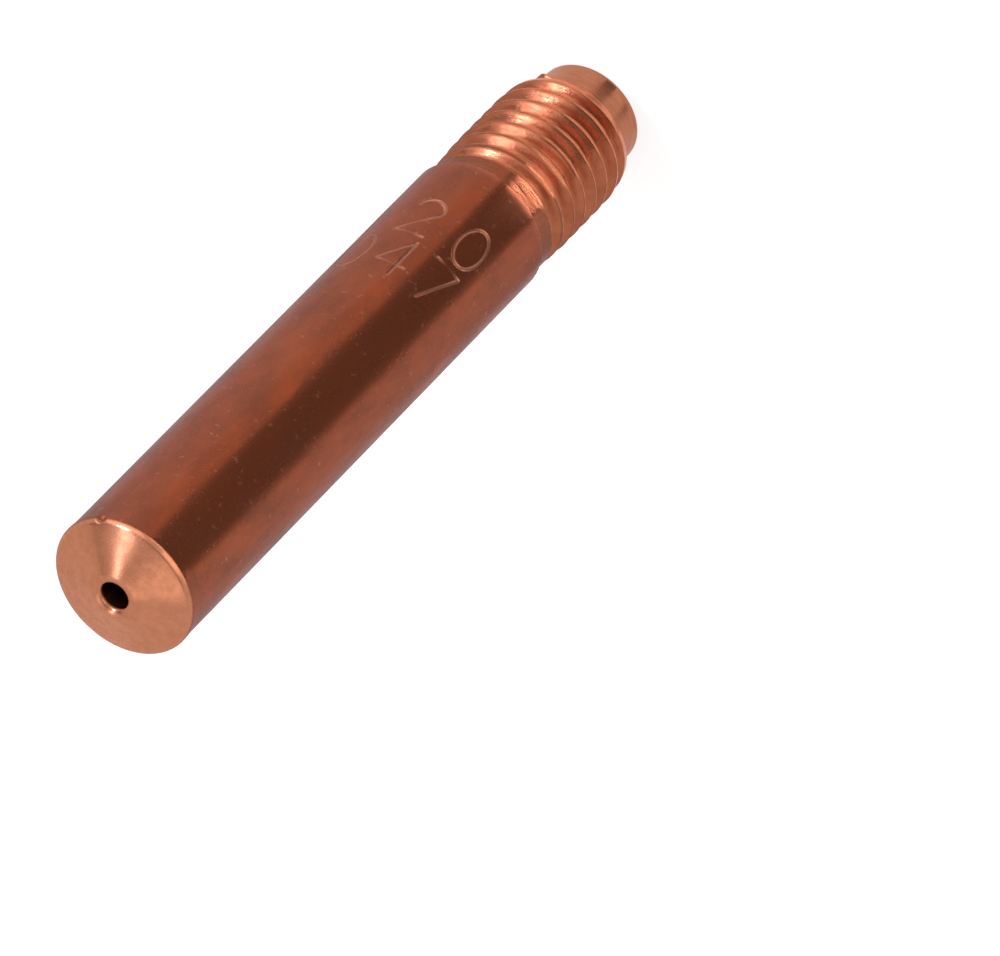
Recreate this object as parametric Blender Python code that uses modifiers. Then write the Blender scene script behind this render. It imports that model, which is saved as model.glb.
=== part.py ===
"""Threaded contact tip for a wire-fed welding gun: one piece of copper, turned from round bar.

The tip stands on its flat back end at z = 0 with its nose up, and its bore is on the Z axis.
The view from -Y shows the side where the first turn of the thread is deepest.
Lengths are in metres and angles in degrees.
"""
import math

import bmesh
import bpy

# Bar and overall size
OVERALL_LENGTH = 0.0381
BODY_DIAMETER = 0.00635

# Nose: a shallow cone with a rounded edge
NOSE_SLOPE = 18.2
NOSE_EDGE_RADIUS = 0.00029

# Wire bore, its mouth rounded over toward the nose and its funnel in the back end
BORE_DIAMETER = 0.0013
MOUTH_RADIUS = 0.00045
MOUTH_TURN = 40.0
FUNNEL_DIAMETER = 0.0026
FUNNEL_ANGLE = 60.0

# Shank, from the shoulder to the back end
SHANK_LENGTH = 0.00938
SHOULDER_EDGE_BREAK = 0.00006
RELIEF_LENGTH = 0.00055
RELIEF_DEPTH = 0.000105
RELIEF_RAMP = 0.0017
PILOT_LENGTH = 0.00148
PILOT_CLEARANCE = 0.000246
PILOT_EDGE_RADIUS = 0.00006

# Thread: 28 turns to the inch with 60 degree flanks, on a blank a little under the bar
THREAD_PITCH = 0.0254 / 28.0
THREAD_SKIM = 0.00005
THREAD_ANGLE = 60.0
CREST_FLAT_SHARE = 0.18
ROOT_FLAT_SHARE = 0.243
THREAD_START_DROP = 0.00131
RUN_OUT_TURNS = 0.5
LEAD_LENGTH = 0.0016
LEAD_DROP = 0.0002
LEAD_FACE_SLOPE = 30.0

# Facets
TURN_FACETS = 64
ARC_STEPS = 4
LEAD_STEPS = 5
CUTTER_MARGIN = 0.00004
SHARP_ANGLE = 28.0

# Copper, as a linear colour
COPPER_COLOUR = (0.46, 0.155, 0.085, 1.0)
COPPER_ROUGHNESS = 0.34

# Sizes that follow from the ones above
body_radius = BODY_DIAMETER / 2.0
bore_radius = BORE_DIAMETER / 2.0
funnel_radius = FUNNEL_DIAMETER / 2.0
crest_radius = body_radius - THREAD_SKIM
relief_radius = crest_radius - RELIEF_DEPTH
full_v_depth = THREAD_PITCH / (2.0 * math.tan(math.radians(THREAD_ANGLE / 2.0)))
thread_depth = full_v_depth * (1.0 - CREST_FLAT_SHARE - ROOT_FLAT_SHARE)
root_radius = crest_radius - thread_depth
pilot_radius = root_radius - PILOT_CLEARANCE
lead_radius = crest_radius - LEAD_DROP
lead_height = PILOT_LENGTH + (lead_radius - pilot_radius) * math.tan(math.radians(LEAD_FACE_SLOPE))


def clear_scene():
    """Remove whatever the file opened with."""
    for scene_object in list(bpy.data.objects):
        bpy.data.objects.remove(scene_object, do_unlink=True)


def new_collection(name):
    """Make a collection in the scene."""
    collection = bpy.data.collections.new(name)
    bpy.context.scene.collection.children.link(collection)
    return collection


def copper_material():
    """Bright turned copper."""
    material = bpy.data.materials.new("turned_copper")
    material.use_nodes = True
    shader = material.node_tree.nodes["Principled BSDF"]
    shader.inputs["Base Color"].default_value = COPPER_COLOUR
    shader.inputs["Roughness"].default_value = COPPER_ROUGHNESS
    shader.inputs["Metallic"].default_value = 1.0
    return material


def arc(centre, radius, first_angle, last_angle, steps):
    """Points of a circular arc in the profile's plane, both ends included."""
    points = []
    for step in range(steps + 1):
        angle = math.radians(first_angle + (last_angle - first_angle) * step / steps)
        points.append((centre[0] + radius * math.cos(angle), centre[1] + radius * math.sin(angle)))
    return points


def nose_profile():
    """From the bore's mouth, out over the cone and round the nose's edge to the body."""
    slope = math.radians(NOSE_SLOPE)
    mouth_centre_radius = bore_radius + MOUTH_RADIUS * math.sin(math.radians(MOUTH_TURN))
    mouth_centre_height = OVERALL_LENGTH - MOUTH_RADIUS
    mouth_centre = (mouth_centre_radius, mouth_centre_height)
    mouth = arc(mouth_centre, MOUTH_RADIUS, 90.0 + MOUTH_TURN, 90.0, ARC_STEPS)
    mouth += arc(mouth_centre, MOUTH_RADIUS, 90.0, 90.0 - NOSE_SLOPE, 1)[1:]
    edge_centre_radius = body_radius - NOSE_EDGE_RADIUS
    cone_start_radius, cone_start_height = mouth[-1]
    cone_end_radius = edge_centre_radius + NOSE_EDGE_RADIUS * math.sin(slope)
    cone_end_height = cone_start_height - (cone_end_radius - cone_start_radius) * math.tan(slope)
    edge_centre_height = cone_end_height - NOSE_EDGE_RADIUS * math.cos(slope)
    edge = arc((edge_centre_radius, edge_centre_height), NOSE_EDGE_RADIUS, 90.0 - NOSE_SLOPE, 0.0, ARC_STEPS)
    return mouth + edge


def lead_profile():
    """The thread's lead end, where the crests round down toward the pilot."""
    arc_radius = (LEAD_LENGTH ** 2 + LEAD_DROP ** 2) / (2.0 * LEAD_DROP)
    swing = math.degrees(math.asin(LEAD_LENGTH / arc_radius))
    centre = (crest_radius - arc_radius, lead_height + LEAD_LENGTH)
    return arc(centre, arc_radius, 0.0, -swing, LEAD_STEPS)


def shank_profile():
    """From the shoulder, down over the relief, the thread's blank and the pilot to the back end."""
    relief_end = SHANK_LENGTH - RELIEF_LENGTH
    shoulder = [
        (body_radius, SHANK_LENGTH + SHOULDER_EDGE_BREAK),
        (body_radius - SHOULDER_EDGE_BREAK, SHANK_LENGTH),
        (relief_radius, SHANK_LENGTH),
        (relief_radius, relief_end),
        (crest_radius, relief_end - RELIEF_RAMP),
    ]
    pilot_edge_centre = (pilot_radius - PILOT_EDGE_RADIUS, PILOT_EDGE_RADIUS)
    pilot = [(pilot_radius, PILOT_LENGTH)] + arc(pilot_edge_centre, PILOT_EDGE_RADIUS, 0.0, -90.0, ARC_STEPS)
    return shoulder + lead_profile() + pilot


def funnel_profile():
    """The wire's lead-in at the back end, up to the bore."""
    funnel_depth = (funnel_radius - bore_radius) / math.tan(math.radians(FUNNEL_ANGLE / 2.0))
    return [(funnel_radius, 0.0), (bore_radius, funnel_depth)]


def turned_blank(collection):
    """Turn the whole outline round the bore's axis."""
    outline = nose_profile() + shank_profile() + funnel_profile()
    corners = [(radius, 0.0, height) for radius, height in outline]
    edges = [(index, (index + 1) % len(corners)) for index in range(len(corners))]
    mesh = bpy.data.meshes.new("contact_tip")
    mesh.from_pydata(corners, edges, [])
    blank = bpy.data.objects.new("contact_tip", mesh)
    collection.objects.link(blank)
    turning = blank.modifiers.new("turning", "SCREW")
    turning.axis = "Z"
    turning.angle = math.tau
    turning.steps = TURN_FACETS
    turning.render_steps = TURN_FACETS
    turning.use_merge_vertices = True
    turning.merge_threshold = 0.000001
    turning.use_normal_calculate = False
    return blank


def groove_section(angle, height, lift):
    """The threading tool's outline at one place on the helix, lifted clear by the run-out."""
    half_root = THREAD_PITCH * ROOT_FLAT_SHARE / 2.0
    outer_radius = crest_radius + CUTTER_MARGIN
    flank_run = (outer_radius - root_radius) * math.tan(math.radians(THREAD_ANGLE / 2.0))
    inner = root_radius + lift
    outer = outer_radius + lift
    outline = [
        (inner, -half_root),
        (outer, -half_root - flank_run),
        (outer, half_root + flank_run),
        (inner, half_root),
    ]
    return [(radius * math.cos(angle), radius * math.sin(angle), height + rise) for radius, rise in outline]


def groove_cutter(collection):
    """Loft the groove: full depth up from below the lead end, then out of the metal in the run-out."""
    front_angle = -math.pi / 2.0
    top_height = SHANK_LENGTH - THREAD_START_DROP
    cut_turns = math.ceil((top_height - PILOT_LENGTH) / THREAD_PITCH)
    run_out_steps = round(RUN_OUT_TURNS * TURN_FACETS)
    mesh = bmesh.new()
    previous = None
    for step in range(-cut_turns * TURN_FACETS, run_out_steps + 1):
        turn = step / TURN_FACETS
        lift = (thread_depth + CUTTER_MARGIN) * max(0.0, step / run_out_steps) ** 2
        corners = groove_section(front_angle + math.tau * turn, top_height + THREAD_PITCH * turn, lift)
        section = [mesh.verts.new(corner) for corner in corners]
        if previous is None:
            mesh.faces.new(section)
        else:
            for index in range(len(section)):
                following = (index + 1) % len(section)
                side = (previous[index], previous[following], section[following], section[index])
                mesh.faces.new(side)
        previous = section
    mesh.faces.new(list(reversed(previous)))
    bmesh.ops.recalc_face_normals(mesh, faces=mesh.faces)
    cutter_mesh = bpy.data.meshes.new("thread_groove")
    mesh.to_mesh(cutter_mesh)
    mesh.free()
    cutter = bpy.data.objects.new("thread_groove", cutter_mesh)
    cutter.hide_render = True
    cutter.display_type = "WIRE"
    collection.objects.link(cutter)
    return cutter


def cut(target, cutter):
    """Take the cutter's volume out of the target."""
    threading = target.modifiers.new("threading", "BOOLEAN")
    threading.operation = "DIFFERENCE"
    threading.solver = "EXACT"
    threading.object = cutter


def shade_turned(target):
    """Smooth round surfaces, with their turned edges kept sharp."""
    depsgraph = bpy.context.evaluated_depsgraph_get()
    finished = bpy.data.meshes.new_from_object(target.evaluated_get(depsgraph))
    target.modifiers.clear()
    target.data = finished
    finished.name = target.name
    finished.shade_smooth()
    finished.set_sharp_from_angle(angle=math.radians(SHARP_ANGLE))


clear_scene()
part_collection = new_collection("welding_contact_tip")
cutter_collection = new_collection("cutters")
contact_tip = turned_blank(part_collection)
cut(contact_tip, groove_cutter(cutter_collection))
shade_turned(contact_tip)
contact_tip.data.materials.append(copper_material())
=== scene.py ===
"""Welding contact tip: its finished surface, stamped figures, floor, light and camera."""
import math

import bpy
from mathutils import Matrix, Vector


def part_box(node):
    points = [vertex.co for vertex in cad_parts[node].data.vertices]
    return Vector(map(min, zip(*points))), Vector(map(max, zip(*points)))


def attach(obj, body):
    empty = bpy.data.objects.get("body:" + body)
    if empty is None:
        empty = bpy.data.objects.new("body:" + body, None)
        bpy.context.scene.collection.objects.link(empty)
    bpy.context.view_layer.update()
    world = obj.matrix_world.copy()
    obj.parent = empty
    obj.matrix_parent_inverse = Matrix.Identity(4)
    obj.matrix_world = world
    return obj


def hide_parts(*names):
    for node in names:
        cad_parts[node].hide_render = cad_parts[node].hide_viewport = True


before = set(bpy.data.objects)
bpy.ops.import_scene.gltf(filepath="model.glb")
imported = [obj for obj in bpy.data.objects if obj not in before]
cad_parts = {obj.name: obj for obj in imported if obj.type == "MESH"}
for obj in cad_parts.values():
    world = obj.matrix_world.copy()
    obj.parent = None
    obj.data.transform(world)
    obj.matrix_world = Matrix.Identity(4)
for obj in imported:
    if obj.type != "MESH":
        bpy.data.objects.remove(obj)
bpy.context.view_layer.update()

# Contact tip: its outline.
# One piece of copper bar, turned on a lathe: a shallow cone for a nose with the wire's bore
# in it, a long plain body, a thin relief behind the shoulder, a threaded shank and a pilot.
# It stands on its back end, nose up. Handling has flared the nose's rim by a hair.
MM = 0.001
tip_low, tip_high = (Vector(corner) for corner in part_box("contact_tip"))
overall_length = tip_high.z - tip_low.z
body_radius = (tip_high.x - tip_low.x) / 2

nose_slope = math.radians(18.2)
nose_edge_radius = 0.29 * MM
nose_flare = 0.03 * MM
nose_flare_length = 0.5 * MM
flare_steps = 6
bore_radius = 0.65 * MM
mouth_radius = 0.45 * MM
mouth_turn = math.radians(40.0)
funnel_radius = 1.30 * MM
funnel_half_angle = math.radians(30.0)

shoulder_height = 9.38 * MM
shoulder_edge_radius = 0.02 * MM
thread_skim = 0.05 * MM
relief_depth = 0.15 * MM
relief_length = 0.42 * MM
relief_ramp = 2.45 * MM
crest_radius = body_radius - thread_skim
relief_radius = crest_radius - relief_depth

thread_pitch = 25.4 * MM / 28
thread_depth = 0.50 * thread_pitch
thread_start_drop = 1.31 * MM
thread_top = shoulder_height - thread_start_drop
pilot_drop = 0.70 * MM
pilot_radius = crest_radius - pilot_drop
pilot_length = 1.48 * MM
pilot_edge_radius = 0.06 * MM
lead_length = 1.6 * MM
lead_drop = 0.2 * MM
lead_radius = crest_radius - lead_drop
lead_face_slope = math.radians(30.0)
lead_height = pilot_length + (lead_radius - pilot_radius) * math.tan(lead_face_slope)

figures_top = 17.80 * MM
figures_bottom = 12.05 * MM
fine_row = 0.05 * MM


def arc(centre, radius, first, last, steps):
    """Points of a circular arc as (radius, height), both ends included, angles in degrees."""
    angles = [math.radians(first + (last - first) * step / steps) for step in range(steps + 1)]
    return [(centre[0] + radius * math.cos(a), centre[1] + radius * math.sin(a)) for a in angles]


def run(start, end, longest):
    """Points between two places of the outline, no further apart than the longest step."""
    distance = math.dist(start, end)
    steps = max(1, math.ceil(distance / longest))
    return [
        (
            start[0] + (end[0] - start[0]) * step / steps,
            start[1] + (end[1] - start[1]) * step / steps,
        )
        for step in range(1, steps)
    ]


def lead_arc(steps):
    """The crests' line where it rounds down toward the pilot."""
    drop = crest_radius - lead_radius
    radius = (lead_length**2 + drop**2) / (2 * drop)
    swing = math.degrees(math.asin(lead_length / radius))
    return arc((crest_radius - radius, lead_height + lead_length), radius, 0, -swing, steps)


mouth_centre = (bore_radius + mouth_radius * math.sin(mouth_turn), overall_length - mouth_radius)
mouth = arc(mouth_centre, mouth_radius, 90 + math.degrees(mouth_turn), 90, steps=8)
mouth += arc(mouth_centre, mouth_radius, 90, 90 - math.degrees(nose_slope), steps=3)[1:]
edge_centre_radius = body_radius + nose_flare - nose_edge_radius
cone_end_radius = edge_centre_radius + nose_edge_radius * math.sin(nose_slope)
cone_end_height = mouth[-1][1] - (cone_end_radius - mouth[-1][0]) * math.tan(nose_slope)
edge_centre = (edge_centre_radius, cone_end_height - nose_edge_radius * math.cos(nose_slope))
nose_edge = arc(edge_centre, nose_edge_radius, 90 - math.degrees(nose_slope), 0, steps=12)
flare = [
    (
        body_radius + nose_flare * (0.5 + 0.5 * math.cos(math.pi * step / flare_steps)),
        edge_centre[1] - nose_flare_length * step / flare_steps,
    )
    for step in range(1, flare_steps + 1)
]
shoulder_edge_centre = (body_radius - shoulder_edge_radius, shoulder_height + shoulder_edge_radius)
shoulder_edge = arc(shoulder_edge_centre, shoulder_edge_radius, 0, -90, steps=4)
relief_bottom = (relief_radius, shoulder_height - relief_length)
thread_blank = (crest_radius, shoulder_height - relief_length - relief_ramp)
pilot_edge_centre = (pilot_radius - pilot_edge_radius, pilot_edge_radius)
pilot_edge = arc(pilot_edge_centre, pilot_edge_radius, 0, -90, steps=5)
funnel_top = (bore_radius, (funnel_radius - bore_radius) / math.tan(funnel_half_angle))

# Each stretch of the outline comes with the longest step allowed on the way to it. Rows are
# close where the figures and the thread need them.
outline = list(mouth)
for corners, longest in (
    (nose_edge, 0.26 * MM),
    (flare, 0.2 * MM),
    ([(body_radius, figures_top)], 1.0 * MM),
    ([(body_radius, figures_bottom)], fine_row),
    (shoulder_edge, 0.5 * MM),
    ([(relief_radius, shoulder_height)], 0.06 * MM),
    ([relief_bottom], 0.1 * MM),
    ([thread_blank], fine_row),
    (lead_arc(steps=32), fine_row),
    ([(pilot_radius, pilot_length)], 0.08 * MM),
    (pilot_edge, 0.18 * MM),
    ([(funnel_radius, 0.0)], 0.2 * MM),
    ([funnel_top], 0.3 * MM),
    ([mouth[0]], 9.0 * MM),
):
    outline += run(outline[-1], corners[0], longest)
    outline += corners

outline_mesh = bpy.data.meshes.new("tip_outline")
outline_mesh.from_pydata(
    [(radius, 0, height) for radius, height in outline],
    [(index, index + 1) for index in range(len(outline) - 1)],
    [],
)
contact_tip = bpy.data.objects.new("tip_copper", outline_mesh)
bpy.context.scene.collection.objects.link(contact_tip)

# Contact tip: its stamped figures.
# Plain figures punched into the body by hand with single-line punches about 2.5 mm high,
# in two rows round the body, with their feet toward the nose. A facing is an angle round the
# axis, counted from the side that faces the camera.
figure_height = 2.44 * MM
figure_width = 1.34 * MM
figure_rows = (
    (13.47 * MM, (("1", -81.0), ("2", -35.0), ("0", 10.2))),
    (16.37 * MM, (("0", -64.0), ("4", -28.0), ("7", 8.0))),
)


def facing_point(radius, facing, height):
    """The point at a distance from the axis, a facing in radians and a height."""
    return [-radius * math.sin(facing), -radius * math.cos(facing), height]


def oval(left, bottom, right, top, first=0, last=360, steps=28):
    """Points of an ellipse, or of a stretch of one, in shares of the figure's width and height."""
    points = []
    for step in range(steps + 1):
        angle = math.radians(first + (last - first) * step / steps)
        across = (left + right) / 2 + (right - left) / 2 * math.cos(angle)
        up = (bottom + top) / 2 + (top - bottom) / 2 * math.sin(angle)
        points.append((across, up))
    return points


figure_lines = {
    "0": [oval(0.0, 0.0, 1.0, 1.0)],
    "1": [[(0.2, 0.76), (0.55, 1.0), (0.55, 0.0)]],
    "2": [oval(0.04, 0.5, 0.96, 1.0, 165, -40, 16) + [(0.0, 0.0), (1.0, 0.0)]],
    "4": [[(0.74, 0.0), (0.74, 1.0), (0.0, 0.3), (1.0, 0.3)]],
    "7": [[(0.0, 1.0), (1.0, 1.0), (0.36, 0.0)]],
}
figure_points = []
figure_edges = []
for row_height, figures in figure_rows:
    for figure, facing in figures:
        for line in figure_lines[figure]:
            for index, (across, up) in enumerate(line):
                turned_by = math.radians(facing) + (across - 0.5) * figure_width / body_radius
                point_height = row_height - (up - 0.5) * figure_height
                if index:
                    figure_edges.append((len(figure_points) - 1, len(figure_points)))
                figure_points.append(facing_point(body_radius, turned_by, point_height))
figures_mesh = bpy.data.meshes.new("figure_lines")
figures_mesh.from_pydata(figure_points, figure_edges, [])
figure_strokes = bpy.data.objects.new("figure_strokes", figures_mesh)
bpy.context.scene.collection.objects.link(figure_strokes)

# Contact tip: its copper.
# The body keeps the dull skin of drawn bar, the nose is freshly faced, the shank freshly cut
# and the bore drilled, so the same metal shows five finishes; the bore's wall is also painted
# dark for the shade inside it. Copper takes much of its colour from what it reflects.


def colour(code):
    """A colour from its sRGB hex code, as linear values."""
    parts = [int(code[index : index + 2], 16) / 255 for index in (0, 2, 4)]
    return [v / 12.92 if v <= 0.04045 else ((v + 0.055) / 1.055) ** 2.4 for v in parts] + [1.0]


def add(tree, kind, inputs=None, **settings):
    """Add a node with its settings. An input takes a value, a socket or a node's first output."""
    node = tree.nodes.new(kind)
    for name, value in settings.items():
        setattr(node, name, value)
    for key, value in (inputs or {}).items():
        if isinstance(value, bpy.types.Node):
            value = value.outputs[0]
        if isinstance(value, bpy.types.NodeSocket):
            tree.links.new(value, node.inputs[key])
        else:
            node.inputs[key].default_value = value
    return node


def bare_copper(name):
    """A new copper material: itself, its tree, its shader and the place on the tip."""
    material = bpy.data.materials.new(name)
    material.use_nodes = True
    tree = material.node_tree
    shader = tree.nodes["Principled BSDF"]
    shader.inputs["Metallic"].default_value = 1.0
    return material, tree, shader, add(tree, "ShaderNodeTexCoord").outputs["Object"]


def drawn_bar_copper():
    """Cold-drawn bar, handled and slightly tarnished: satin, blotched along the bar, with pits."""
    blotch_size = 1.1 * MM
    scuff_size = 0.30 * MM
    pit_spacing = 0.55 * MM
    grain_size = 0.22 * MM
    wave_size = 1.9 * MM
    material, tree, shader, place = bare_copper("drawn_bar_copper")
    along = add(tree, "ShaderNodeMapping", {"Vector": place, "Scale": (1.0, 1.0, 0.45)})
    blotch = add(
        tree,
        "ShaderNodeTexNoise",
        {"Vector": along, "Scale": 1 / blotch_size, "Detail": 5.0, "Roughness": 0.62},
    ).outputs["Fac"]
    tarnish = add(tree, "ShaderNodeMapRange", {0: blotch, 1: 0.34, 2: 0.66})
    skin = add(
        tree,
        "ShaderNodeMix",
        {"Factor": tarnish, 6: colour("EC7E56"), 7: colour("C67052")},
        data_type="RGBA",
    ).outputs[2]
    spot = add(
        tree,
        "ShaderNodeTexNoise",
        {"Vector": place, "Scale": 1 / scuff_size, "Detail": 1.0, "Roughness": 0.5},
    ).outputs["Fac"]
    scuff = add(tree, "ShaderNodeMapRange", {0: spot, 1: 0.66, 2: 0.86})
    scuffed = add(
        tree,
        "ShaderNodeMix",
        {"Factor": scuff, 6: skin, 7: colour("EFA083")},
        data_type="RGBA",
    ).outputs[2]

    # The punches have bared the metal in the figures' strokes.
    fresh = add(tree, "ShaderNodeAttribute", attribute_name="fresh_metal").outputs["Fac"]
    bared = add(
        tree,
        "ShaderNodeMix",
        {"Factor": fresh, 6: scuffed, 7: colour("F0A386")},
        data_type="RGBA",
    ).outputs[2]
    tree.links.new(bared, shader.inputs["Base Color"])

    # Pits and specks a tenth of a millimetre across, over slow waves left by drawing. The bump's
    # distance is one millimetre, so its heights are in millimetres.
    grain_rise = 0.0022
    wave_rise = 0.030
    pit_depth = 0.0035
    specks =add(tree, "ShaderNodeTexVoronoi", {"Vector": place, "Scale": 1 / pit_spacing})
    pit = add(
        tree,
        "ShaderNodeMapRange",
        {0: specks.outputs["Distance"], 1: 0.08, 2: 0.20, 3: 1.0, 4: 0.0},
    )
    grain = add(
        tree,
        "ShaderNodeTexNoise",
        {"Vector": place, "Scale": 1 / grain_size, "Detail": 2.0, "Roughness": 0.5},
    ).outputs["Fac"]
    wave = add(
        tree,
        "ShaderNodeTexNoise",
        {"Vector": along, "Scale": 1 / wave_size, "Detail": 1.0, "Roughness": 0.5},
    ).outputs["Fac"]
    grain_height = add(tree, "ShaderNodeMath", {0: grain, 1: grain_rise}, operation="MULTIPLY")
    wave_height = add(tree, "ShaderNodeMath", {0: wave, 1: wave_rise}, operation="MULTIPLY")
    pit_height = add(tree, "ShaderNodeMath", {0: pit, 1: -pit_depth}, operation="MULTIPLY")
    height = add(tree, "ShaderNodeMath", {0: grain_height, 1: wave_height}, operation="ADD")
    height = add(tree, "ShaderNodeMath", {0: height, 1: pit_height}, operation="ADD")
    bump = add(tree, "ShaderNodeBump", {"Height": height, "Strength": 1.0, "Distance": 1.0 * MM})
    tree.links.new(bump.outputs[0], shader.inputs["Normal"])

    # Scuffs and bared strokes are rougher than the drawn skin.
    rough = add(tree, "ShaderNodeMapRange", {0: tarnish, 3: 0.22, 4: 0.30})
    rubbed = add(tree, "ShaderNodeMath", {0: scuff, 1: fresh}, operation="MAXIMUM")
    rougher = add(tree, "ShaderNodeMath", {0: rubbed, 1: 0.10}, operation="MULTIPLY")
    rough = add(tree, "ShaderNodeMath", {0: rough, 1: rougher}, operation="ADD")
    tree.links.new(rough.outputs[0], shader.inputs["Roughness"])
    return material


def faced_copper():
    """Faced with a lathe tool: fine rings round the bore, which draw highlights out radially."""
    ring_spacing = 0.09 * MM
    cloud_size = 0.45 * MM
    wave_size = 1.3 * MM
    ring_rise = 0.0016
    wave_rise = 0.016
    material, tree, shader, place = bare_copper("faced_copper")
    shader.inputs["Anisotropic"].default_value = 0.85
    shader.inputs["Anisotropic Rotation"].default_value = 0.25
    tangent = add(tree, "ShaderNodeTangent", direction_type="RADIAL", axis="Z")
    tree.links.new(tangent.outputs["Tangent"], shader.inputs["Tangent"])
    level = add(tree, "ShaderNodeVectorMath", {0: place, 1: (1.0, 1.0, 0.0)}, operation="MULTIPLY")
    radius = add(tree, "ShaderNodeVectorMath", {0: level}, operation="LENGTH").outputs["Value"]
    rings = add(
        tree,
        "ShaderNodeTexNoise",
        {"W": radius, "Scale": 1 / ring_spacing, "Detail": 2.0, "Roughness": 0.6},
        noise_dimensions="1D",
    ).outputs["Fac"]
    cloud = add(
        tree,
        "ShaderNodeTexNoise",
        {"Vector": place, "Scale": 1 / cloud_size, "Detail": 4.0, "Roughness": 0.65},
    ).outputs["Fac"]
    dull = add(tree, "ShaderNodeMapRange", {0: cloud, 1: 0.35, 2: 0.65})
    metal = add(
        tree,
        "ShaderNodeMix",
        {"Factor": dull, 6: colour("FCA47C"), 7: colour("EE9872")},
        data_type="RGBA",
    ).outputs[2]
    tree.links.new(metal, shader.inputs["Base Color"])
    wave = add(
        tree,
        "ShaderNodeTexNoise",
        {"Vector": place, "Scale": 1 / wave_size, "Detail": 1.0, "Roughness": 0.5},
    ).outputs["Fac"]
    ring_height = add(tree, "ShaderNodeMath", {0: rings, 1: ring_rise}, operation="MULTIPLY")
    wave_height = add(tree, "ShaderNodeMath", {0: wave, 1: wave_rise}, operation="MULTIPLY")
    height = add(tree, "ShaderNodeMath", {0: ring_height, 1: wave_height}, operation="ADD")
    bump = add(tree, "ShaderNodeBump", {"Height": height, "Strength": 1.0, "Distance": 1.0 * MM})
    tree.links.new(bump.outputs[0], shader.inputs["Normal"])
    rough = add(tree, "ShaderNodeMapRange", {0: dull, 3: 0.23, 4: 0.29})
    tree.links.new(rough.outputs[0], shader.inputs["Roughness"])
    return material


def threaded_copper():
    """Freshly cut with a threading die, which tears fine furrows round the thread."""
    furrow_length = 0.7 * MM
    patch_size = 0.9 * MM
    furrow_depth = 0.024 * MM
    material, tree, shader, place = bare_copper("die_cut_copper")
    around = add(tree, "ShaderNodeMapping", {"Vector": place, "Scale": (1.0, 1.0, 4.0)})
    furrows = add(
        tree,
        "ShaderNodeTexNoise",
        {"Vector": around, "Scale": 1 / furrow_length, "Detail": 4.0, "Roughness": 0.6},
    ).outputs["Fac"]
    torn = add(
        tree,
        "ShaderNodeTexNoise",
        {"Vector": place, "Scale": 1 / patch_size, "Detail": 3.0, "Roughness": 0.6},
    ).outputs["Fac"]
    patch = add(tree, "ShaderNodeMapRange", {0: torn, 1: 0.35, 2: 0.65})
    metal = add(
        tree,
        "ShaderNodeMix",
        {"Factor": patch, 6: colour("D87F5B"), 7: colour("C97350")},
        data_type="RGBA",
    ).outputs[2]
    tree.links.new(metal, shader.inputs["Base Color"])
    bump = add(
        tree,
        "ShaderNodeBump",
        {"Height": furrows, "Strength": 1.0, "Distance": furrow_depth},
    )
    tree.links.new(bump.outputs[0], shader.inputs["Normal"])
    rough = add(tree, "ShaderNodeMapRange", {0: patch, 3: 0.24, 4: 0.33})
    tree.links.new(rough.outputs[0], shader.inputs["Roughness"])
    return material


def turned_copper():
    """The pilot, turned with a pointed tool and left dull, with faint rings."""
    ring_length = 0.8 * MM
    ring_depth = 0.02 * MM
    material, tree, shader, place = bare_copper("turned_pilot_copper")
    shader.inputs["Roughness"].default_value = 0.42
    around = add(tree, "ShaderNodeMapping", {"Vector": place, "Scale": (1.0, 1.0, 5.0)})
    rings = add(
        tree,
        "ShaderNodeTexNoise",
        {"Vector": around, "Scale": 1 / ring_length, "Detail": 3.0, "Roughness": 0.6},
    ).outputs["Fac"]
    metal = add(
        tree,
        "ShaderNodeMix",
        {"Factor": rings, 6: colour("CC8462"), 7: colour("9C5A3E")},
        data_type="RGBA",
    ).outputs[2]
    tree.links.new(metal, shader.inputs["Base Color"])
    bump = add(tree, "ShaderNodeBump", {"Height": rings, "Strength": 1.0, "Distance": ring_depth})
    tree.links.new(bump.outputs[0], shader.inputs["Normal"])
    return material


def painted_shade_bore_copper():
    """The bore's wall: bare copper where the mouth was rounded, then painted shade down the bore,
    dark in patches.
    """
    bore_patch_size = 0.5 * MM
    bore_patch_depth = 0.02 * MM
    shade_gone_above = overall_length - 0.10 * MM
    shade_full_below = overall_length - 0.23 * MM
    material, tree, shader, place = bare_copper("painted_shade_bore_copper")
    shader.inputs["Roughness"].default_value = 0.45
    bore_patches = add(
        tree,
        "ShaderNodeTexNoise",
        {"Vector": place, "Scale": 1 / bore_patch_size, "Detail": 3.0, "Roughness": 0.6},
    ).outputs["Fac"]
    # Painted shade: two dark tones, mixed in patches, stand in for the shade inside the bore.
    painted_bore_shade = add(
        tree,
        "ShaderNodeMix",
        {"Factor": bore_patches, 6: colour("3A1A0F"), 7: colour("241009")},
        data_type="RGBA",
    ).outputs[2]
    # The painted shade is full from 0.23 mm down the bore and fades out by 0.10 mm below the mouth.
    height = add(tree, "ShaderNodeSeparateXYZ", {0: place}).outputs[2]
    unshaded_share = add(tree, "ShaderNodeMapRange", {0: height, 1: shade_full_below, 2: shade_gone_above})
    wall = add(
        tree,
        "ShaderNodeMix",
        {"Factor": unshaded_share, 6: painted_bore_shade, 7: colour("E89470")},
        data_type="RGBA",
    ).outputs[2]
    tree.links.new(wall, shader.inputs["Base Color"])
    bump = add(tree, "ShaderNodeBump", {"Height": bore_patches, "Strength": 1.0, "Distance": bore_patch_depth})
    tree.links.new(bump.outputs[0], shader.inputs["Normal"])
    return material


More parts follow.
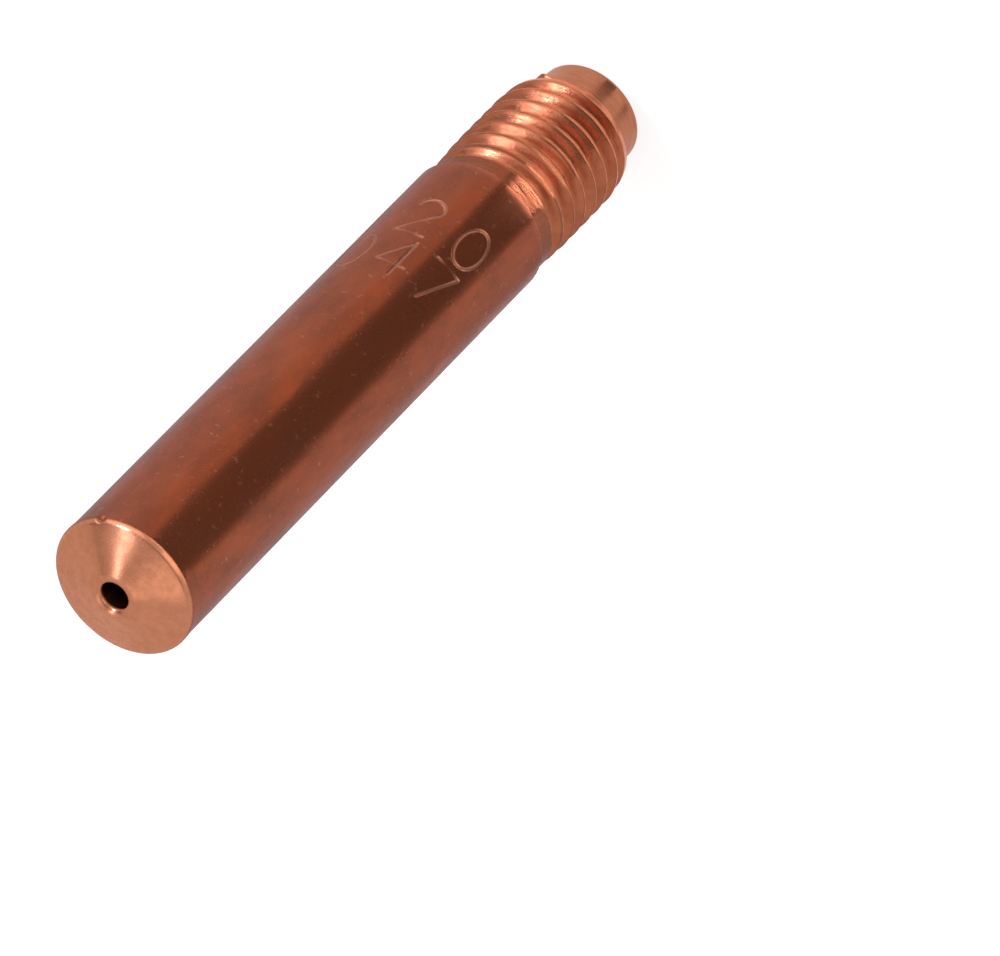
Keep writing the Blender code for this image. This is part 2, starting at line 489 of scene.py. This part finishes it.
# Contact tip: its mesh.
# Geometry Nodes turn the outline round the bore's axis, with more columns on the stamped side,
# then cut the thread's groove along its helix and press the figures in. A knock has pushed the
# nose's rim in, and the die has left a burr where the thread ends beside the pilot.
stamped_from = math.radians(-104.0)
stamped_to = math.radians(26.0)
columns = 252
stamped_columns = 176
weld_distance = 0.001 * MM
groove_half_opening = thread_pitch * 0.41
flank_rise = 1 / math.tan(math.radians(30.0))

knock_facing = math.radians(-51.5)
burr_facing = math.radians(-57.0)
burr_radius = lead_radius - 0.2 * MM
burr_height = lead_height - 0.12 * MM

# The finish changes in the rounding of the nose's rim, in that of the shoulder, at the pilot's
# top and just outside the bore's wall.
facing_ends = nose_edge[10][1]
body_ends = shoulder_edge[2][1]
wall_radius = bore_radius * 1.02

tip_sizes = {
    "Pitch": thread_pitch,
    "Thread Top": thread_top,
    "Thread Depth": thread_depth,
    "Crest Radius": crest_radius,
    "Shoulder Height": shoulder_height - weld_distance,
    "Run-Out Turns": 0.5,
    "Crest Rounding": 0.24 * MM,
    "Root Rounding": 0.22 * MM,
    "Stroke Half Width": 0.09 * MM,
    "Stroke Depth": 0.055 * MM,
    "Stroke Lip": 0.005 * MM,
    "Knock Width": 0.32 * MM,
    "Knock Depth": 0.15 * MM,
    "Burr Width": 0.50 * MM,
    "Burr Height": 0.20 * MM,
}
tip_places = {
    "Knock Place": facing_point(body_radius, knock_facing, nose_edge[11][1]),
    "Burr Place": facing_point(burr_radius, burr_facing, burr_height),
}


def tip_tree():
    """The tree that turns, threads and stamps the tip."""
    tree = bpy.data.node_groups.new("turned_tip", "GeometryNodeTree")
    face = tree.interface
    face.new_socket("Geometry", in_out="INPUT", socket_type="NodeSocketGeometry")
    face.new_socket("Figures", in_out="INPUT", socket_type="NodeSocketObject")
    for name in tip_sizes:
        face.new_socket(name, in_out="INPUT", socket_type="NodeSocketFloat")
    for name in tip_places:
        face.new_socket(name, in_out="INPUT", socket_type="NodeSocketVector")
    face.new_socket("Geometry", in_out="OUTPUT", socket_type="NodeSocketGeometry")
    given = tree.nodes.new("NodeGroupInput").outputs
    result = tree.nodes.new("NodeGroupOutput").inputs

    # A flat sheet has a column of vertices for each turn of the lathe and a row for each point
    # of the outline, the first point twice, so that the outline closes.
    rows = len(outline)
    sheet = add(
        tree,
        "GeometryNodeMeshGrid",
        {"Size X": 1.0, "Size Y": 1.0, "Vertices X": columns + 1, "Vertices Y": rows + 1},
    ).outputs["Mesh"]
    where = add(tree, "GeometryNodeInputPosition").outputs[0]
    on_sheet = add(tree, "ShaderNodeSeparateXYZ", {0: where}).outputs
    share = add(tree, "ShaderNodeMath", {0: on_sheet[0], 1: 0.5}, operation="ADD")
    row = add(tree, "ShaderNodeMath", {0: on_sheet[1], 1: 0.5}, operation="ADD")
    row = add(tree, "ShaderNodeMath", {0: row, 1: rows}, operation="MULTIPLY")
    row = add(tree, "ShaderNodeMath", {0: row}, operation="ROUND")
    row = add(tree, "ShaderNodeMath", {0: row, 1: rows}, operation="MODULO")
    fine_share = stamped_columns / columns
    fine_turn = add(
        tree,
        "ShaderNodeMapRange",
        {0: share, 1: 0.0, 2: fine_share, 3: 0.0, 4: stamped_to - stamped_from},
    )
    coarse_turn = add(
        tree,
        "ShaderNodeMapRange",
        {0: share, 1: fine_share, 2: 1.0, 3: 0.0, 4: math.tau - stamped_to + stamped_from},
    )
    turn = add(tree, "ShaderNodeMath", {0: fine_turn, 1: coarse_turn}, operation="ADD")
    turn = add(tree, "ShaderNodeMath", {0: turn, 1: stamped_from}, operation="ADD")
    corner = add(
        tree,
        "GeometryNodeSampleIndex",
        {"Geometry": given["Geometry"], "Value": where, "Index": row},
        data_type="FLOAT_VECTOR",
    )
    profile = add(tree, "ShaderNodeSeparateXYZ", {0: corner}).outputs
    radius, height = profile[0], profile[2]
    outward_x = add(tree, "ShaderNodeMath", {0: turn}, operation="SINE")
    outward_x = add(tree, "ShaderNodeMath", {0: outward_x, 1: -1.0}, operation="MULTIPLY")
    outward_y = add(tree, "ShaderNodeMath", {0: turn}, operation="COSINE")
    outward_y = add(tree, "ShaderNodeMath", {0: outward_y, 1: -1.0}, operation="MULTIPLY")

    def on_axis(distance):
        """The point at this distance from the axis, at the vertex's own turn and height."""
        x = add(tree, "ShaderNodeMath", {0: outward_x, 1: distance}, operation="MULTIPLY")
        y = add(tree, "ShaderNodeMath", {0: outward_y, 1: distance}, operation="MULTIPLY")
        return add(tree, "ShaderNodeCombineXYZ", {0: x, 1: y, 2: height})

    # The groove climbs one pitch a turn, the right-hand way, and leaves the metal at its top end.
    pitch, top, run_out = given["Pitch"], given["Thread Top"], given["Run-Out Turns"]
    depth, root, crest = given["Thread Depth"], given["Root Rounding"], given["Crest Rounding"]
    crests, shoulder = given["Crest Radius"], given["Shoulder Height"]
    helix_turn = add(tree, "ShaderNodeMath", {0: turn, 1: -math.tau}, operation="DIVIDE")
    climb = add(tree, "ShaderNodeMath", {0: height, 1: top}, operation="SUBTRACT")
    climb = add(tree, "ShaderNodeMath", {0: climb, 1: pitch}, operation="DIVIDE")
    phase = add(tree, "ShaderNodeMath", {0: climb, 1: helix_turn}, operation="SUBTRACT")
    nearest = add(tree, "ShaderNodeMath", {0: phase}, operation="ROUND")
    off_centre = add(tree, "ShaderNodeMath", {0: phase, 1: nearest}, operation="SUBTRACT")
    off_centre = add(tree, "ShaderNodeMath", {0: off_centre}, operation="ABSOLUTE")
    off_centre = add(tree, "ShaderNodeMath", {0: off_centre, 1: pitch}, operation="MULTIPLY")
    past_top = add(tree, "ShaderNodeMath", {0: helix_turn, 1: nearest}, operation="ADD")
    past_top = add(tree, "ShaderNodeMath", {0: past_top, 1: 0.0}, operation="MAXIMUM")
    leaving = add(tree, "ShaderNodeMath", {0: past_top, 1: run_out}, operation="DIVIDE")
    lift = add(tree, "ShaderNodeMath", {0: leaving, 1: leaving}, operation="MULTIPLY")
    lift = add(tree, "ShaderNodeMath", {0: lift, 1: depth}, operation="MULTIPLY")
    flank = add(
        tree,
        "ShaderNodeMath",
        {0: groove_half_opening, 1: off_centre},
        operation="SUBTRACT",
    )
    flank = add(tree, "ShaderNodeMath", {0: flank, 1: flank_rise}, operation="MULTIPLY")
    trough = add(tree, "ShaderNodeMath", {0: flank, 1: depth, 2: root}, operation="SMOOTH_MIN")
    groove = add(tree, "ShaderNodeMath", {0: trough, 1: lift}, operation="SUBTRACT")
    groove = add(tree, "ShaderNodeMath", {0: groove, 1: 0.0, 2: crest}, operation="SMOOTH_MAX")
    threaded = add(tree, "ShaderNodeMath", {0: crests, 1: groove}, operation="SUBTRACT")
    threaded = add(tree, "ShaderNodeMath", {0: radius, 1: threaded}, operation="MINIMUM")
    on_shank = add(tree, "ShaderNodeMath", {0: height, 1: shoulder}, operation="LESS_THAN")
    cut = add(tree, "ShaderNodeMix", {0: on_shank, 2: radius, 3: threaded}, data_type="FLOAT")

    # Each stroke is a plain V, with a low lip of metal raised beside it.
    strokes = add(tree, "GeometryNodeObjectInfo", {"Object": given["Figures"]}).outputs["Geometry"]
    aside = add(
        tree,
        "GeometryNodeProximity",
        {"Geometry": strokes, "Sample Position": on_axis(radius)},
        target_element="EDGES",
    ).outputs["Distance"]
    half_width = given["Stroke Half Width"]
    pressed = add(
        tree,
        "ShaderNodeMapRange",
        {0: aside, 1: 0.0, 2: half_width, 3: given["Stroke Depth"], 4: 0.0},
    )
    lip_start = add(tree, "ShaderNodeMath", {0: half_width, 1: 0.7}, operation="MULTIPLY")
    lip_top = add(tree, "ShaderNodeMath", {0: half_width, 1: 1.15}, operation="MULTIPLY")
    lip_end = add(tree, "ShaderNodeMath", {0: half_width, 1: 1.9}, operation="MULTIPLY")
    lip_in = add(
        tree,
        "ShaderNodeMapRange",
        {0: aside, 1: lip_start, 2: lip_top},
        interpolation_type="SMOOTHSTEP",
    )
    lip_out = add(
        tree,
        "ShaderNodeMapRange",
        {0: aside, 1: lip_top, 2: lip_end, 3: given["Stroke Lip"], 4: 0.0},
        interpolation_type="SMOOTHSTEP",
    )
    lip = add(tree, "ShaderNodeMath", {0: lip_in, 1: lip_out}, operation="MULTIPLY")
    shaped = add(tree, "ShaderNodeMath", {0: cut, 1: pressed}, operation="SUBTRACT")
    shaped = add(tree, "ShaderNodeMath", {0: shaped, 1: lip}, operation="ADD")

    # The knock and the burr fade out round their places.
    for mark, amount, operation in (
        ("Knock", "Knock Depth", "SUBTRACT"),
        ("Burr", "Burr Height", "ADD"),
    ):
        away = add(
            tree,
            "ShaderNodeVectorMath",
            {0: on_axis(radius), 1: given[mark + " Place"]},
            operation="DISTANCE",
        ).outputs["Value"]
        moved = add(
            tree,
            "ShaderNodeMapRange",
            {0: away, 1: 0.0, 2: given[mark + " Width"], 3: given[amount], 4: 0.0},
            interpolation_type="SMOOTHSTEP",
        )
        shaped = add(tree, "ShaderNodeMath", {0: shaped, 1: moved}, operation=operation)

    # The attribute is stored while the sheet is flat, because its distances are worked out there.
    bare_inside = add(tree, "ShaderNodeMath", {0: half_width, 1: 0.4}, operation="MULTIPLY")
    skin_outside = add(tree, "ShaderNodeMath", {0: half_width, 1: 1.1}, operation="MULTIPLY")
    fresh = add(
        tree,
        "ShaderNodeMapRange",
        {0: aside, 1: bare_inside, 2: skin_outside, 3: 1.0, 4: 0.0},
        interpolation_type="SMOOTHSTEP",
    )
    bared = add(
        tree,
        "GeometryNodeStoreNamedAttribute",
        {"Geometry": sheet, "Name": "fresh_metal", "Value": fresh},
        data_type="FLOAT",
        domain="POINT",
    )
    turned = add(
        tree,
        "GeometryNodeSetPosition",
        {"Geometry": bared, "Position": on_axis(shaped)},
    )
    closed = add(
        tree,
        "GeometryNodeMergeByDistance",
        {"Geometry": turned, "Distance": weld_distance},
    )
    smooth = add(tree, "GeometryNodeSetShadeSmooth", {"Geometry": closed})

    # Each stretch of the finished surface gets its own copper.
    face_z = add(tree, "ShaderNodeSeparateXYZ", {0: where}).outputs[2]
    level = add(tree, "ShaderNodeVectorMath", {0: where, 1: (1.0, 1.0, 0.0)}, operation="MULTIPLY")
    face_radius = add(tree, "ShaderNodeVectorMath", {0: level}, operation="LENGTH").outputs["Value"]
    on_nose = add(tree, "ShaderNodeMath", {0: face_z, 1: facing_ends}, operation="GREATER_THAN")
    below_shoulder = add(tree, "ShaderNodeMath", {0: face_z, 1: body_ends}, operation="LESS_THAN")
    on_pilot = add(tree, "ShaderNodeMath", {0: face_z, 1: pilot_length}, operation="LESS_THAN")
    in_bore = add(tree, "ShaderNodeMath", {0: face_radius, 1: wall_radius}, operation="LESS_THAN")
    finished = add(tree, "GeometryNodeRealizeInstances", {0: smooth})
    for material, part in (
        (drawn_bar_copper(), True),
        (faced_copper(), on_nose),
        (threaded_copper(), below_shoulder),
        (turned_copper(), on_pilot),
        (painted_shade_bore_copper(), in_bore),
    ):
        finished = add(
            tree,
            "GeometryNodeSetMaterial",
            {"Geometry": finished, "Selection": part, "Material": material},
        )
    tree.links.new(finished.outputs[0], result[0])
    return tree


turning = contact_tip.modifiers.new("turning", "NODES")
turning.node_group = tip_tree()
tip_inputs = {"Figures": figure_strokes, **tip_sizes, **tip_places}
for socket in turning.node_group.interface.items_tree:
    if socket.in_out == "INPUT" and socket.name in tip_inputs:
        turning[socket.identifier] = tip_inputs[socket.name]

depsgraph = bpy.context.evaluated_depsgraph_get()
finished_mesh = bpy.data.meshes.new_from_object(contact_tip.evaluated_get(depsgraph))
contact_tip.modifiers.clear()
contact_tip.data = finished_mesh
bpy.data.objects.remove(figure_strokes)
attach(contact_tip, "root")
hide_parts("contact_tip")

# Floor.
# A plain matt white table top, wide enough to fill every view. It glows a little, as an evenly
# lit table does, so that the tip mirrors it without a shadow.


def matt_sheet(name, points, faces, paint_name, code, glow=0.0, roughness=1.0):
    """A sheet of the set, in matt paint or cloth that may glow."""
    mesh = bpy.data.meshes.new(name)
    mesh.from_pydata(points, [], faces)
    sheet = bpy.data.objects.new(name, mesh)
    bpy.context.scene.collection.objects.link(sheet)
    paint = bpy.data.materials.new(paint_name)
    paint.use_nodes = True
    shader = paint.node_tree.nodes["Principled BSDF"]
    shader.inputs["Base Color"].default_value = colour(code)
    shader.inputs["Roughness"].default_value = roughness
    shader.inputs["Specular IOR Level"].default_value = 0.0
    shader.inputs["Emission Color"].default_value = colour("FFFFFF")
    shader.inputs["Emission Strength"].default_value = glow
    mesh.materials.append(paint)
    return sheet


floor_reach = 20.0
floor_corners = [
    (-floor_reach, -floor_reach, 0),
    (floor_reach, -floor_reach, 0),
    (floor_reach, floor_reach, 0),
    (-floor_reach, floor_reach, 0),
]
floor = matt_sheet(
    "floor",
    floor_corners,
    [(0, 1, 2, 3)],
    "matt_white_table",
    "A0A0A0",
    glow=0.80,
    roughness=0.9,
)

# Studio cards.
# Level paper cards lie round the foot of the tip, and only reflections see them. The camera
# looks down, so an upright surface mirrors what lies out on the table toward twice its facing,
# and each card's sides are given as the facings that mirror them.
table_level = 0.10 * MM
band_level = 7.0 * MM
band_left = -9.5
band_right = 28.8
warm_left = -25
card_steps = 48


def only_mirrored(sheet):
    """Hide a sheet from everything but reflections."""
    sheet.visible_camera = False
    sheet.visible_diffuse = False
    sheet.visible_shadow = False
    sheet.visible_transmission = False


def card(name, level, start, end, from_side, to_side, code, glow=0.0):
    """A card at a level, from one distance out to another, between two facings in degrees."""
    inner = []
    outer = []
    for step in range(card_steps + 1):
        side = math.radians(from_side + (to_side - from_side) * step / card_steps)
        foot_x, foot_y, foot_z = facing_point(body_radius, side, level)
        out_x, out_y = -math.sin(2 * side), -math.cos(2 * side)
        inner.append((foot_x + start * out_x, foot_y + start * out_y, foot_z))
        outer.append((foot_x + end * out_x, foot_y + end * out_y, foot_z))
    quads = [(i, i + 1, card_steps + 2 + i, card_steps + 1 + i) for i in range(card_steps)]
    made = matt_sheet(name, inner + outer, quads, name + "_card", code, glow)
    only_mirrored(made)


# Grey and brown cards on the table tone the body's sides, and the dark one its brown band.
side_start = 6.0 * MM
side_end = 400 * MM
card("grey_card_left", table_level, side_start, side_end, -90, warm_left, "AAAAAA")
card("warm_card_left", table_level, side_start, side_end, warm_left, band_left, "A89A8E")
card("grey_card_right", table_level, side_start, side_end, band_right, 90, "AEAEAE")
card("dark_card", band_level, 1.65 * MM, 80 * MM, band_left, band_right, "58574F")

# Small cards close to the foot: a glowing one lights the relief behind the shoulder, a shade
# under it keeps its light off the thread, and two grey ones streak the pilot.
shade_level = 6.9 * MM
pilot_start = -0.72 * MM
pilot_end = 0.9 * MM
card("relief_shade", shade_level, 0.7 * MM, 1.7 * MM, -12, 32, "404040")
card("relief_card", band_level, 0.8 * MM, 1.65 * MM, -4, 28, "FFFFFF", glow=3.4)
card("pilot_card", table_level, pilot_start, pilot_end, -13, 5, "B4B4B4")
card("pilot_card_right", table_level, pilot_start, pilot_end, 29, 37, "B4B4B4")

# Two pieces of grey cloth hang overhead, where the upper flanks of the thread mirror them. Both
# stop short of the soft box that the thread mirrors too.
cloth_height = 300 * MM
cloth_corners = []
for left, front, right, rear in (
    (-190 * MM, -95 * MM, 150 * MM, 15 * MM),
    (150 * MM, 20 * MM, 340 * MM, 180 * MM),
):
    cloth_corners += [
        (left, front, cloth_height),
        (right, front, cloth_height),
        (right, rear, cloth_height),
        (left, rear, cloth_height),
    ]
cloth_faces = [(3, 2, 1, 0), (7, 6, 5, 4)]
cloth = matt_sheet("overhead_cloth", cloth_corners, cloth_faces, "grey_cloth", "666666")
only_mirrored(cloth)

# Light.
# An even pale room and a large lamp overhead for the floor. A soft box beside the standing tip
# gives the bright streaks on the thread, a narrow one behind it the streak on the nose, and a
# weak wide one lifts the rest of the nose.
world = bpy.data.worlds.new("pale_room")
bpy.context.scene.world = world
world.use_nodes = True
world.node_tree.nodes["Background"].inputs["Color"].default_value = colour("FFFFFF")
world.node_tree.nodes["Background"].inputs["Strength"].default_value = 0.55


def soft_box(name, direction, distance, width, length, brightness, along=(0, 0, 1), tint="FFFFFF"):
    """A lamp aimed at the tip from a direction, its length turned along a line."""
    lamp_data = bpy.data.lights.new(name, "AREA")
    lamp_data.shape = "RECTANGLE"
    lamp_data.size = width
    lamp_data.size_y = length
    lamp_data.energy = brightness * math.pi * width * length
    lamp_data.color = colour(tint)[:3]
    lamp = bpy.data.objects.new(name, lamp_data)
    aim = Vector((0, 0, overall_length / 2))
    back = Vector(direction).normalized()
    right = Vector(along).cross(back).normalized()
    up = back.cross(right)
    turn = Matrix((right, up, back)).transposed()
    lamp.matrix_world = Matrix.Translation(aim + back * distance) @ turn.to_4x4()
    bpy.context.scene.collection.objects.link(lamp)
    return lamp


nose_streak_line = (0.22, -0.46, 0)
soft_box(
    "thread_soft_box",
    direction=(0.52, -0.18, 0.84),
    distance=450 * MM,
    width=80 * MM,
    length=180 * MM,
    brightness=17.0,
    tint="CEE0FF",
)
soft_box(
    "nose_strip",
    direction=(0.250, 0.258, 0.934),
    distance=450 * MM,
    width=46 * MM,
    length=120 * MM,
    brightness=3.2,
    along=nose_streak_line,
    tint="E6EEFF",
)
soft_box(
    "nose_fill",
    direction=(-0.215, 0.240, 0.947),
    distance=450 * MM,
    width=220 * MM,
    length=150 * MM,
    brightness=0.42,
    along=nose_streak_line,
)
overhead = soft_box(
    "overhead_lamp",
    direction=(0.0, 0.0, 1.0),
    distance=900 * MM,
    width=900 * MM,
    length=900 * MM,
    brightness=0.55,
    along=(0, 1, 0),
)
overhead.visible_glossy = False

# White reflectors curve round both sides of the camera, with a gap where the camera stands.
# They give rounded edges their light rim.
reflector_radius = 600 * MM
reflector_height = 830 * MM
reflector_steps = 16
reflector_points = []
reflector_faces = []
for from_side, to_side in ((-85, -28), (6, 46)):
    for step in range(reflector_steps + 1):
        side = math.radians(from_side + (to_side - from_side) * step / reflector_steps)
        first = len(reflector_points)
        reflector_points += [
            facing_point(reflector_radius, side, 0.0),
            facing_point(reflector_radius, side, reflector_height),
        ]
        if step:
            reflector_faces.append((first - 2, first - 1, first + 1, first))
reflector = matt_sheet(
    "white_reflectors",
    reflector_points,
    reflector_faces,
    "lit_white_cloth",
    "000000",
    glow=1.15,
    roughness=0.5,
)
only_mirrored(reflector)

# Camera.
# A long lens looks down at the nose, 43 degrees above the floor, and is rolled so that the
# nose points to the lower left of the picture.
camera_height_angle = math.radians(43.307)
camera_roll = math.radians(-136.438)
tip_foot_in_view = Vector((3.697, 15.328, -481.58)) * MM
camera_data = bpy.data.cameras.new("camera")
camera_data.sensor_width = 36.0
camera_data.lens = 411.75
camera_data.clip_start = 0.01
camera_data.clip_end = 100.0
camera = bpy.data.objects.new("camera", camera_data)
bpy.context.scene.collection.objects.link(camera)
camera_back = Vector((0, -math.cos(camera_height_angle), math.sin(camera_height_angle)))
level_right = Vector((1, 0, 0))
level_up = camera_back.cross(level_right)
camera_right = level_right * math.cos(camera_roll) + level_up * math.sin(camera_roll)
camera_up = camera_back.cross(camera_right)
camera_turn = Matrix((camera_right, camera_up, camera_back)).transposed()
camera.matrix_world = Matrix.Translation(camera_turn @ -tip_foot_in_view) @ camera_turn.to_4x4()
bpy.context.scene.camera = camera
bpy.context.scene.view_settings.view_transform = "Standard"
